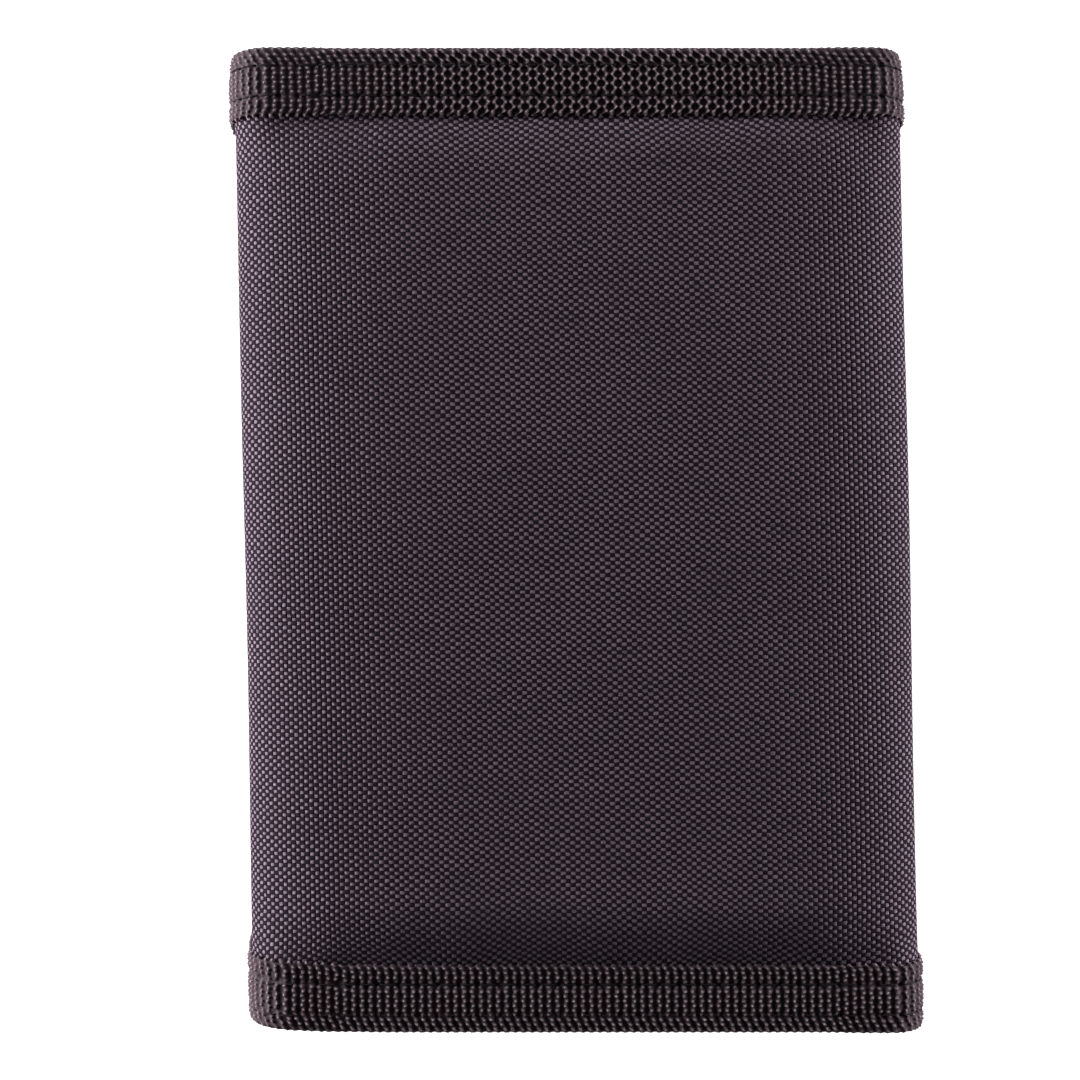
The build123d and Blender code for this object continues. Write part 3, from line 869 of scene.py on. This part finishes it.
def tape_relief(s, w, inset, reach, slant, sway):
    """Height of the tape's surface, 0 to 1, at s along it, w across it from the fold and inset from
    the folded edge. Thread k runs at s = pitch * (k +- sway * cos(pi w / bead)), the sign turning
    from one to the next, so that with a large sway neighbours close like honeycomb. Each is a bell
    curve across, with a bead wherever it turns, and the beads stand out more the less the threads
    sway. Outside the outer seam the threads slant, and at the woven edge they hook."""
    hook = 0.5 * np.clip(1 - (reach - np.abs(w)) / hook_run, 0, 1) ** 2
    leaning = slant * np.clip(row_from_fold - inset, 0, None)
    q = (s + leaning) / rib_pitch + hook
    k = np.floor(q)
    sign = np.where(k % 2 == 0, 1.0, -1.0)
    turn = np.cos(np.pi * w / bead_pitch)
    near = np.minimum(np.abs(q - k - sign * sway * turn), np.abs(q - k - 1 + sign * sway * turn))
    bead = (0.5 + 0.5 * np.cos(2 * np.pi * w / bead_pitch)) ** 0.8
    beaded = np.clip(1 - 3 * sway, 0.3, 0.7)
    return np.exp(-((near / rib_half_width) ** 2)) * (1 - beaded + beaded * bead)


def seam_groove(inset, leg):
    """How far each place is drawn in by the stitching: 1 in the middle of the inner row and 0.5 in
    the outer one, which lies slacker, falling away from each as a bell curve."""
    return np.maximum(0.5 * seam_dip(inset - row_from_fold, row_half_width),
                      seam_dip(leg - inset - row_from_edge, row_half_width))


def folded_profile(leg, layers, outer_count, fold_count, inner_count):
    """Closed section of the folded tape for each place along it: arrays (place, point) of a, the
    distance in from the fold's plane, n, the height over the outer face, the direction (da, dn) in
    which relief stands, and w, the distance across the tape from the fold. In order: a half circle
    at one woven edge, a straight leg, half an ellipse round the fold, a straight leg, a half circle
    at the other woven edge, and the tape's inside, where no relief stands."""
    lip = np.linspace(-np.pi / 2, np.pi / 2, 6)[None, :]
    half = tape_thickness / 2
    radius = (layers / 2 + tape_thickness)[:, None]
    leg, layers = leg[:, None], layers[:, None]
    flat = np.linspace(1, 0, outer_count)[None, 1:]
    turn = np.linspace(np.pi / 2, -np.pi / 2, fold_count)[None, 1:]
    back = np.linspace(0, 1, inner_count)[None, 1:]
    full = leg - half - fold_depth
    arc = np.sqrt((radius ** 2 + fold_depth ** 2) / 2) * np.pi / 2
    zero = 0 * leg
    last_lip = lip[:, 1:]
    a = [leg - half + half * np.cos(lip),
         fold_depth + full * flat,
         fold_depth - fold_depth * np.cos(turn) + zero,
         fold_depth + full * back,
         leg - half + half * np.cos(last_lip)]
    n = [half + half * np.sin(lip) + zero,
         tape_thickness + 0 * flat + zero,
         -layers / 2 + radius * np.sin(turn),
         -layers - tape_thickness + 0 * back,
         -layers - half + half * np.sin(last_lip)]
    da = [np.cos(lip) + zero,
          0 * flat + zero,
          -np.cos(turn) + zero,
          0 * back + zero,
          np.cos(last_lip) + zero]
    dn = [np.sin(lip) + zero,
          1 + 0 * flat + zero,
          np.sin(turn) + zero,
          -1 + 0 * back + zero,
          np.sin(last_lip) + zero]
    w = [arc + full + half * np.cos(lip),
         arc + full * flat,
         arc * np.sin(turn),
         -arc - full * back,
         -arc - full - half * np.cos(last_lip)]
    inwards = np.linspace(1, 0, 4)[None, 1:]
    outwards = inwards[:, ::-1][:, 1:]
    inside = leg - half - tape_thickness
    a += [tape_thickness + inside * inwards, tape_thickness + inside * outwards]
    n += [-layers + 0 * inwards, zero + 0 * outwards]
    for part in (da, dn, w):
        part += [zero + 0 * inwards, zero + 0 * outwards]
    return [np.concatenate(part, axis=1) for part in (a, n, da, dn, w)]


def folded_tape(name, edge, inward, normal, s, leg, layers, look, material, counts):
    """Ribbed tape folded over an edge. edge, inward and normal are arrays of vectors along it: the
    fold's outermost line, the direction into the panel and the outer face's normal. A point is edge
    plus a times inward plus n times normal, after the relief, less the stitched grooves and their
    holes, is added along (da, dn). The ribs stand half as high in a groove and a quarter as high on
    the fold. look is the threads' slant, their sway along the tape, and how far the outer face is
    pinched in at the fold. counts are the section's points on the outer leg, round the fold and on
    the hidden leg."""
    slant, sway, pinch = look
    a, n, da, dn, w = folded_profile(leg, layers, *counts)
    reach = np.abs(w).max(axis=1, keepdims=True)
    skin = (da ** 2 + dn ** 2 > 0.5).astype(float)
    relief = tape_relief(s[:, None], w, a, reach, slant, np.asarray(sway).reshape(-1, 1)) * skin
    groove = seam_groove(a, leg[:, None]) * skin
    near_hole = np.abs((s[:, None] / stitch_pitch + 0.5) % 1 - 0.5) * stitch_pitch
    hole = seam_dip(near_hole, hole_half_width) * groove
    on_fold = np.clip(1 - a / fold_depth, 0, 1)
    ribs = rib_height * (relief - rib_middle) * (1 - 0.5 * groove) * (1 - 0.75 * on_fold)
    rise = (ribs - row_depth * groove - hole_depth * hole) * skin
    pinched = pinch * np.clip(1 - a / pinch_run, 0, 1) ** 2 * np.clip(dn, 0, 1)
    a, n = a + rise * da, n + rise * dn - pinched
    points = edge[:, None, :] + a[..., None] * inward[:, None, :] + n[..., None] * normal[:, None, :]
    columns, around = a.shape
    number = np.arange(columns * around).reshape(columns, around)
    following = np.roll(number, -1, axis=1)
    quads = np.stack([number[:-1], number[1:], following[1:], following[:-1]], axis=-1).reshape(-1, 4)
    first, last = number[0], number[-1][::-1]
    travel = np.gradient(edge, axis=0).mean(axis=0)
    turned = np.dot(np.cross(travel, inward.mean(axis=0)), normal.mean(axis=0)) > 0
    if turned:
        quads, first, last = quads[:, ::-1], first[::-1], last[::-1]
    piece = mesh_piece(name, leaned(points), quads.tolist() + [first.tolist(), last.tolist()], material)
    # painted shade in the seam grooves and stitch holes, over the relief's painted highlight on the beads
    # and painted shade between the ribs
    shade = relief * (1 - 0.35 * groove) * (1 - 0.7 * hole)
    point_numbers(piece, "relief", shade)
    point_vectors(piece, "cloth_place", np.stack([s[:, None] + 0 * w, w, 0 * w], axis=-1) / mm)
    return piece


def ribbed_tape_cloth(name, dark, light):
    """Tape colour from its own relief, with light and shade painted in: painted shade between the ribs
    and in the seam grooves and stitch holes, and a painted highlight on the beads, varied from bead to
    bead, with a fine fibre bump."""
    rib_power, rib_floor = 3.2, 0.07
    fibre_power, fibre_gain = 2.4, 5.2
    material = painted(name, {"Roughness": 0.8, "Specular IOR Level": 0.04})
    tree = material.node_tree
    add, maths = node_maker(material)
    shader = tree.nodes["Principled BSDF"]
    relief = tree.nodes.new("ShaderNodeAttribute")
    relief.attribute_name = "relief"
    place = tree.nodes.new("ShaderNodeAttribute")
    place.attribute_name = "cloth_place"
    bead_tint = add("ShaderNodeTexNoise", Vector=place.outputs["Vector"], Scale=1.1, Detail=2.0)
    fibre = add("ShaderNodeTexNoise", Vector=place.outputs["Vector"], Scale=4.6, Detail=3.0)
    tint = maths("ADD", 0.25, maths("MULTIPLY", bead_tint.outputs["Fac"], 1.5))
    grain = maths("MULTIPLY", maths("POWER", fibre.outputs["Fac"], fibre_power), fibre_gain)
    # painted highlight on the beads and painted shade between the ribs, from the relief
    painted_rib_light = maths("MULTIPLY", maths("POWER", relief.outputs["Fac"], rib_power), tint)
    painted_rib_light = maths("MULTIPLY", maths("ADD", painted_rib_light, rib_floor), grain, clamp=True)
    colour = add("ShaderNodeMix")
    colour.data_type = "RGBA"
    tree.links.new(painted_rib_light, colour.inputs["Factor"])
    colour.inputs["A"].default_value = (*dark, 1)
    colour.inputs["B"].default_value = (*light, 1)
    tree.links.new(colour.outputs["Result"], shader.inputs["Base Color"])
    bump = add("ShaderNodeBump", Height=fibre.outputs["Fac"], Strength=0.5, Distance=0.06 * mm)
    tree.links.new(bump.outputs["Normal"], shader.inputs["Normal"])
    return material


# dark is painted shade between the ribs, light a painted highlight on the beads
tape_cloth = ribbed_tape_cloth("ribbed_tape", (0.0290, 0.0195, 0.0245), (0.27, 0.206, 0.232))

tape_step = 0.17 * mm
wide_step = 0.23 * mm  # where the tape lies under or inside the closed wallet
face_counts, hidden_counts, edge_counts = (64, 30, 22), (44, 24, 34), (30, 22, 28)
cover_layers, back_layers, flap_layers = 1.8 * mm, 2.1 * mm, 1.7 * mm  # with their foam
tape_strip = strip_stretches(tape_step)
wide_strip = strip_stretches(wide_step)
tape_strip.update({stretch: wide_strip[stretch] for stretch in ("cover", "flap")})
tape_names = {
    "cover": ("cover_tape", "cover_binding", cover_layers),
    "left_lower": ("wide_fold_tape_lower", "cover_fold_binding", seam_layers),
    "left_upper": ("wide_fold_tape_upper", "cover_fold_binding", seam_layers),
    "back": ("back_tape", "back_binding", back_layers),
    "right_upper": ("narrow_fold_tape_upper", "flap_fold_binding", seam_layers),
    "right_lower": ("narrow_fold_tape_lower", "flap_fold_binding", seam_layers),
    "flap": ("flap_tape", "flap_binding", flap_layers),
}


def outline_frame(line, y):
    """Vectors along an (x, z) outline at y: its points, and its outward normals, which are its
    direction crossed with +Y."""
    points = np.stack([line[:, 0], np.full(len(line), y), line[:, 1]], axis=1)
    travel = np.gradient(points, axis=0)
    travel /= np.linalg.norm(travel, axis=1, keepdims=True)
    return points, np.cross(travel, [0.0, 1.0, 0.0])


tape_run = {}
run = 0.0
for stretch, (padded, sewn) in tape_strip.items():
    tape_run[stretch] = run
    run += lengths(sewn)[-1]

for stretch, (padded, sewn) in tape_strip.items():
    name, node, panel_layers = tape_names[stretch]
    s = lengths(sewn)
    if stretch == "back":
        from_fold = np.minimum(s, s[-1] - s)
    elif stretch == "cover":
        from_fold = s[-1] - s
    else:
        from_fold = s
    layers = seam_layers + (panel_layers - seam_layers) * smooth_step(from_fold / foam_run)
    if stretch in ("cover", "flap"):
        overlap = np.ones_like(s)
    elif stretch == "left_lower":
        overlap = smooth_step((s[-1] - s) / overlap_run)
    elif stretch == "right_lower":
        overlap = smooth_step(s / overlap_run)
    else:
        overlap = np.zeros_like(s)
    half = "left" if stretch in ("cover", "left_lower", "left_upper") else "right"
    for end, side in (("top", 1), ("bottom", -1)):
        edge, normal = outline_frame(sewn, side * half_length)
        leg = (half_length - tape_start) + rear_overlap[end, half] * overlap
        if end == "bottom":  # this corner of the strip was trimmed a little round
            past = np.clip((corner_trim_from - edge[:, 0]) / corner_trim_run, 0, 1)
            edge[:, 1] += corner_trim * past ** 2
        inward = np.tile([0.0, -side, 0.0], (len(s), 1))
        counts = hidden_counts if stretch in ("cover", "flap") else face_counts
        if end == "top":  # its threads sway most in the middle
            middle = smooth_step((edge[:, 0] + 36 * mm) / (24 * mm))
            middle = middle * smooth_step((42 * mm - edge[:, 0]) / (20 * mm))
            look = (top_slant, least_sway + middle_sway * middle, top_pinch)
        else:
            look = (bottom_slant, least_sway, bottom_pinch)
        tape = folded_tape(f"{name}_{end}", edge, inward, normal, tape_run[stretch] + s, leg, layers,
                           look, tape_cloth, counts)
        hang_on(tape, stretch)
        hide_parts(f"{node}_{end}")

# The free edges of the cover and the flap carry the same tape, folded over them.
edge_look = (edge_slant, edge_sway, 0.0)
for node, body, way, panel_layers in (("cover_edge_binding", "cover", 1, cover_layers),
                                      ("flap_edge_binding", "flap", -1, flap_layers)):
    low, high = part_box(node)
    fold_x = high.x if way > 0 else low.x
    count = round((high.y - low.y) / wide_step)
    edge = np.stack([np.full(count, fold_x), np.linspace(low.y, high.y, count),
                     np.full(count, low.z + tape_thickness)], axis=1)
    inward = np.tile([-1.0 * way, 0.0, 0.0], (count, 1))
    down = np.tile([0.0, 0.0, -1.0], (count, 1))
    leg = np.full(count, high.x - low.x)
    tape = folded_tape(f"{body}_edge_tape", edge, inward, down, edge[:, 1], leg,
                       np.full(count, panel_layers), edge_look, tape_cloth, edge_counts)
    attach(tape, body)
    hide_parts(node)

# The sleeve's mouth carries a flat strip of the tape, stitched along its middle: tape_relief stands
# below it, less a dip along the stitching.
trim_thickness, trim_rib, trim_dip = 0.12 * mm, 0.16 * mm, 0.1 * mm
low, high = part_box("sleeve_trim")
trim_width = high.x - low.x
y = np.linspace(low.y, high.y, round((high.y - low.y) / wide_step))[None, :]
w = np.linspace(trim_width, 0, 34)[:, None]
relief = tape_relief(y, w, w, trim_width, 0.0, edge_sway)
dip = seam_dip(w - trim_width / 2, row_half_width)
face = low.z + trim_thickness - trim_rib * relief * (1 - dip) + trim_dip * dip
grid = np.stack([low.x + w + 0 * y, y + 0 * w, face], axis=-1)
place = np.stack([y + 0 * w, w + 0 * y, 0 * w + 0 * y], axis=-1) / mm
trim = walled_sheet("sleeve_trim_tape", leaned(grid), trim_thickness, place, tape_cloth)
# the colour reads the relief as painted light and shade, with painted shade along the stitching's dip
point_numbers(trim, "relief", np.concatenate([(relief * (1 - dip)).ravel()] * 2))
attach(trim, "back")
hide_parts("sleeve_trim")

# ==== Stitching ===============================================================================
# Bonded polyester thread in lock stitch, 3 mm long: two rows along each long edge through the tape
# and all layers, and one row along each edge tape. Each stitch sinks into the tape at both ends.

thread_fabric = plain_fabric("bonded_thread", (0.0075, 0.0055, 0.0070), 0.8)
thread_radius = 0.13 * mm
stitch_sink = 0.32 * mm
stitch_gap = 0.35 * mm
thread_proud = 0.02 * mm
stitch_share = np.linspace(0, 1, 7)


def stitch_paths(line, s_first):
    """Lock stitches along an outline of two columns, as arrays (stitch, point): the outline's two
    coordinates, the two parts of its direction, and the depth below the tape's crest, which is
    stitch_sink times (2t - 1)^4 for t from 0 to 1 along a stitch."""
    s = s_first + lengths(line)
    starts = np.arange(math.ceil(s[0] / stitch_pitch), math.floor(s[-1] / stitch_pitch)) * stitch_pitch
    at = starts[:, None] + stitch_gap / 2 + (stitch_pitch - stitch_gap) * stitch_share
    travel = np.gradient(line, axis=0)
    travel /= np.linalg.norm(travel, axis=1, keepdims=True)
    columns = (line[:, 0], line[:, 1], travel[:, 0], travel[:, 1])
    depth = stitch_sink * (2 * stitch_share - 1) ** 4
    return [np.interp(at, s, column) for column in columns] + [depth[None, :] + 0 * at]


stitch_nodes = {
    "cover": "cover_stitching",
    "left_lower": "cover_fold_stitching",
    "left_upper": "cover_fold_stitching",
    "back": "back_stitching",
    "right_upper": "flap_fold_stitching",
    "right_lower": "flap_fold_stitching",
    "flap": "flap_stitching",
}
row_places = (half_length - row_from_fold, tape_start + row_from_edge)
for stretch, (padded, sewn) in tape_strip.items():
    x, z, travel_x, travel_z, depth = stitch_paths(sewn, tape_run[stretch])
    rise = tape_thickness - row_depth + thread_proud - depth
    rows = [np.stack([x - travel_z * rise, side * row + 0 * x, z + travel_x * rise], axis=-1)
            for side in (1, -1) for row in row_places]
    if stretch in ("cover", "flap"):
        low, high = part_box(f"{stretch}_edge_binding")
        x = high.x - row_from_fold if stretch == "cover" else low.x + row_from_fold
        line = np.stack([np.linspace(low.y, high.y, 400), np.zeros(400)], axis=1)
        y, _, _, _, depth = stitch_paths(line, 0.0)
        rows.append(np.stack([x + 0 * y, y, low.z + row_depth - thread_proud + depth], axis=-1))
        rows.append(np.stack([x + 0 * y, y, high.z - row_depth + thread_proud - depth], axis=-1))
    points, faces = threads(np.concatenate(rows), thread_radius, 6)
    seam = mesh_piece(f"{stretch}_stitches", leaned(points), faces, thread_fabric)
    hang_on(seam, stretch)
    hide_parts(stitch_nodes[stretch])
